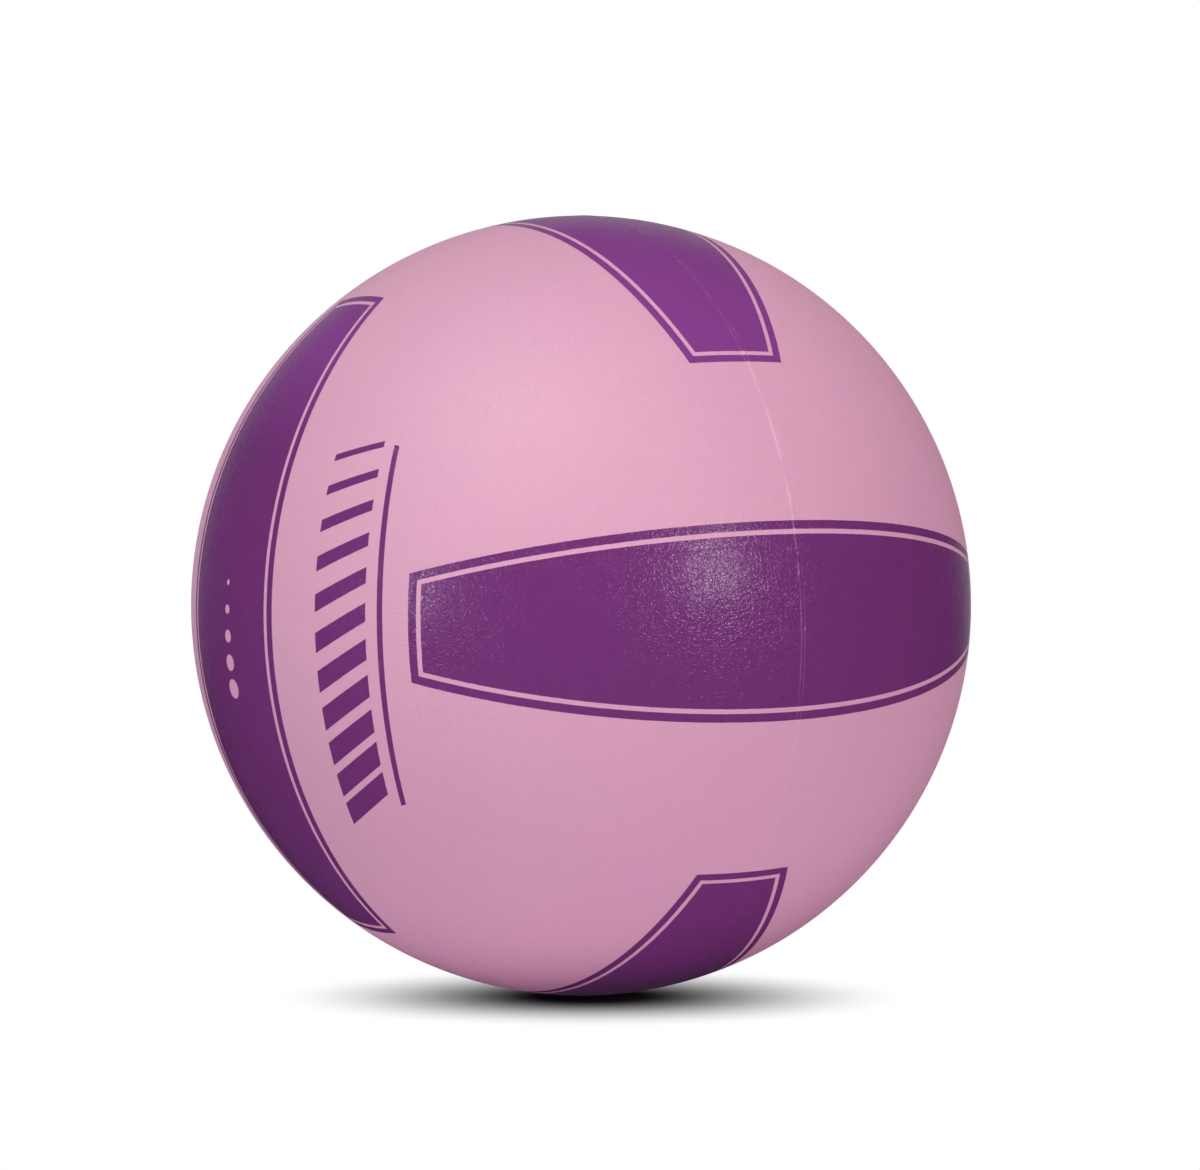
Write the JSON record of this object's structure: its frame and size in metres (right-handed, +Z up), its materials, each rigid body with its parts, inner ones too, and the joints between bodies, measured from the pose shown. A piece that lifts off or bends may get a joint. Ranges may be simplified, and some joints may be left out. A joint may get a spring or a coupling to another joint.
{
  "type": "volleyball",
  "caption": "Inflatable ball with a rubber cover of curved strips laid over a thread-wound carcass, an air bladder inside and a flush needle valve.",
  "frame": {"origin": "centre of the ball", "axes": "+X out of the front face, whose strips run level; +Y out through the middle of the valve; +Z up, out of the top face. The mould's parting line runs round the ball in the plane Y = 0."},
  "size_m": [0.21, 0.2097, 0.21],
  "materials": {
    "cover": "satin moulded rubber with a fine pebble grain and printed purple bands",
    "winding": "nylon thread set in latex, matte",
    "bladder": "smooth black butyl rubber",
    "valve": "moulded black rubber, satin",
    "valve_core": "soft pale natural rubber, satin"
  },
  "bodies": {
    "root": {"cover_front_middle": "cover", "cover_front_lower": "cover", "cover_front_upper": "cover", "cover_back_middle": "cover", "cover_back_upper": "cover", "cover_back_lower": "cover", "cover_top_middle": "cover", "cover_top_left": "cover", "cover_top_right": "cover", "cover_bottom_middle": "cover", "cover_bottom_right": "cover", "cover_bottom_left": "cover", "cover_right_middle": "cover", "cover_right_back": "cover", "cover_right_front": "cover", "cover_left_middle": "cover", "cover_left_front": "cover", "cover_left_back": "cover", "winding": "winding", "bladder": "bladder", "valve_patch": "bladder", "valve_body": "valve", "valve_core": "valve_core"}
  },
  "joints": []
}
